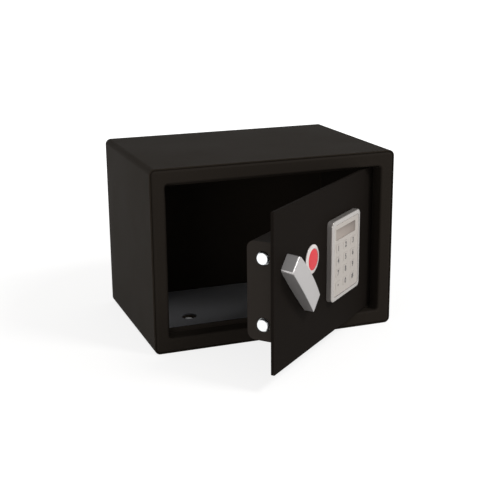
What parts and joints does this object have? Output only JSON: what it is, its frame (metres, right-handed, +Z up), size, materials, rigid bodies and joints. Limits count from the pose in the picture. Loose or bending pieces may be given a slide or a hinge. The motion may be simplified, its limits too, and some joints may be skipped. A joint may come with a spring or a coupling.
{
  "type": "electronic safe",
  "caption": "Small electronic safe with its door standing open: round locking bolts, bar knob, keypad with display, and a disc over the key lock.",
  "frame": {"origin": "centre of the underside of the body", "axes": "+X to the right seen from the front, +Y from the front towards the rear wall, +Z up; the door side faces -Y"},
  "size_m": [0.35, 0.4174, 0.252],
  "materials": {
    "black_powder_coat": "fine powder coat, satin",
    "floor_felt": "short felt",
    "zinc_plated_steel": "bright zinc plate",
    "copper_coil": "wound and varnished",
    "silver_plastic": "silver paint, satin",
    "red_plastic": "glossy",
    "display_glass": "clear window over a grey-brown display",
    "grey_plastic": "fine grain",
    "cell_jacket": "printed sleeve left plain",
    "circuit_board": "solder mask",
    "black_insulation": "smooth"
  },
  "bodies": {
    "cabinet": {"body_sleeve": "black_powder_coat", "back_panel": "black_powder_coat", "front_frame": "black_powder_coat", "floor_mat": "floor_felt", "upper_hinge_bush": "black_powder_coat", "lower_hinge_bush": "black_powder_coat"},
    "door": {"door_plate": "black_powder_coat", "upper_hinge_block": "black_powder_coat", "lower_hinge_block": "black_powder_coat", "upper_hinge_pin": "zinc_plated_steel", "lower_hinge_pin": "zinc_plated_steel", "lock_chassis": "zinc_plated_steel", "carriage_guide": "zinc_plated_steel", "spindle_bush": "zinc_plated_steel", "solenoid_frame": "zinc_plated_steel", "solenoid_coil": "copper_coil", "plunger_spring": "zinc_plated_steel", "lock_barrel": "zinc_plated_steel", "lock_nut": "zinc_plated_steel", "mechanism_cover": "black_powder_coat", "cover_posts": "zinc_plated_steel", "cover_screws": "zinc_plated_steel", "battery_tray": "grey_plastic", "batteries": "cell_jacket", "battery_lid_pin": "zinc_plated_steel", "control_board": "circuit_board", "keypad_housing": "silver_plastic", "keypad_panel": "silver_plastic", "display_window": "display_glass", "display_module": "grey_plastic", "keypad_board": "circuit_board", "keypad_screws": "zinc_plated_steel", "wiring": "black_insulation"},
    "knob": {"knob": "silver_plastic", "knob_spindle": "zinc_plated_steel", "crank_disc": "zinc_plated_steel"},
    "bolt_work": {"bolt_carriage": "zinc_plated_steel", "upper_bolt": "zinc_plated_steel", "lower_bolt": "zinc_plated_steel", "bolt_rivets": "zinc_plated_steel"},
    "lock_plug": {"lock_plug": "zinc_plated_steel"},
    "plunger": {"solenoid_plunger": "zinc_plated_steel", "release_link": "zinc_plated_steel"},
    "lock_cover": {"lock_cover_ring": "silver_plastic", "lock_cover_centre": "red_plastic"},
    "battery_lid": {"battery_lid": "grey_plastic"},
    "reset_button": {"reset_button": "red_plastic"},
    "key_1": {"key_1": "silver_plastic"},
    "key_2": {"key_2": "silver_plastic"},
    "key_3": {"key_3": "silver_plastic"},
    "key_4": {"key_4": "silver_plastic"},
    "key_5": {"key_5": "silver_plastic"},
    "key_6": {"key_6": "silver_plastic"},
    "key_7": {"key_7": "silver_plastic"},
    "key_8": {"key_8": "silver_plastic"},
    "key_9": {"key_9": "silver_plastic"},
    "key_left": {"key_left": "silver_plastic"},
    "key_0": {"key_0": "silver_plastic"},
    "key_right": {"key_right": "silver_plastic"}
  },
  "joints": [
    {"name": "door_hinge", "type": "hinge", "parent": "cabinet", "child": "door", "pos_m": [0.144, -0.0975, 0.126], "axis": [0, 0, 1], "range_deg": [-40.9, 54.1]},
    {"name": "knob_turn", "type": "hinge", "parent": "door", "child": "knob", "pos_m": [-0.03013, -0.25693, 0.126], "axis": [-0.6547, 0.7559, 0], "range_deg": [0, 43.51]},
    {"name": "bolt_slide", "type": "slide", "parent": "door", "child": "bolt_work", "axis": [-0.7559, -0.6547, 0], "range_m": [0, 0.016]},
    {"name": "key_turn", "type": "hinge", "parent": "door", "child": "lock_plug", "pos_m": [0.00313, -0.22812, 0.144], "axis": [-0.6547, 0.7559, 0], "range_deg": [0, 90.01]},
    {"name": "plunger_slide", "type": "slide", "parent": "door", "child": "plunger", "axis": [0.7559, 0.6547, 0], "range_m": [0, 0.005], "deforming": ["plunger_spring"]},
    {"name": "lock_cover_pull", "type": "slide", "parent": "door", "child": "lock_cover", "axis": [0.6547, -0.7559, 0], "range_m": [0, 0.012]},
    {"name": "battery_lid_hinge", "type": "hinge", "parent": "door", "child": "battery_lid", "pos_m": [0.0557, -0.12676, 0.0758], "axis": [-0.7559, -0.6547, 0], "range_deg": [0, 110]},
    {"name": "reset_press", "type": "slide", "parent": "door", "child": "reset_button", "axis": [0.6547, -0.7559, 0], "range_m": [0, 0.0015], "stiffness_N_per_m": 300},
    {"name": "key_1_press", "type": "slide", "parent": "door", "child": "key_1", "axis": [-0.6547, 0.7559, 0], "range_m": [0, 0.0006], "stiffness_N_per_m": 400},
    {"name": "key_2_press", "type": "slide", "parent": "door", "child": "key_2", "axis": [-0.6547, 0.7559, 0], "range_m": [0, 0.0006], "stiffness_N_per_m": 400},
    {"name": "key_3_press", "type": "slide", "parent": "door", "child": "key_3", "axis": [-0.6547, 0.7559, 0], "range_m": [0, 0.0006], "stiffness_N_per_m": 400},
    {"name": "key_4_press", "type": "slide", "parent": "door", "child": "key_4", "axis": [-0.6547, 0.7559, 0], "range_m": [0, 0.0006], "stiffness_N_per_m": 400},
    {"name": "key_5_press", "type": "slide", "parent": "door", "child": "key_5", "axis": [-0.6547, 0.7559, 0], "range_m": [0, 0.0006], "stiffness_N_per_m": 400},
    {"name": "key_6_press", "type": "slide", "parent": "door", "child": "key_6", "axis": [-0.6547, 0.7559, 0], "range_m": [0, 0.0006], "stiffness_N_per_m": 400},
    {"name": "key_7_press", "type": "slide", "parent": "door", "child": "key_7", "axis": [-0.6547, 0.7559, 0], "range_m": [0, 0.0006], "stiffness_N_per_m": 400},
    {"name": "key_8_press", "type": "slide", "parent": "door", "child": "key_8", "axis": [-0.6547, 0.7559, 0], "range_m": [0, 0.0006], "stiffness_N_per_m": 400},
    {"name": "key_9_press", "type": "slide", "parent": "door", "child": "key_9", "axis": [-0.6547, 0.7559, 0], "range_m": [0, 0.0006], "stiffness_N_per_m": 400},
    {"name": "key_left_press", "type": "slide", "parent": "door", "child": "key_left", "axis": [-0.6547, 0.7559, 0], "range_m": [0, 0.0006], "stiffness_N_per_m": 400},
    {"name": "key_0_press", "type": "slide", "parent": "door", "child": "key_0", "axis": [-0.6547, 0.7559, 0], "range_m": [0, 0.0006], "stiffness_N_per_m": 400},
    {"name": "key_right_press", "type": "slide", "parent": "door", "child": "key_right", "axis": [-0.6547, 0.7559, 0], "range_m": [0, 0.0006], "stiffness_N_per_m": 400}
  ],
  "couplings": [
    {"joint": "knob_turn", "follows": "bolt_slide", "rad_per_m": 47.451},
    {"joint": "key_turn", "follows": "plunger_slide", "rad_per_m": 314.16}
  ]
}
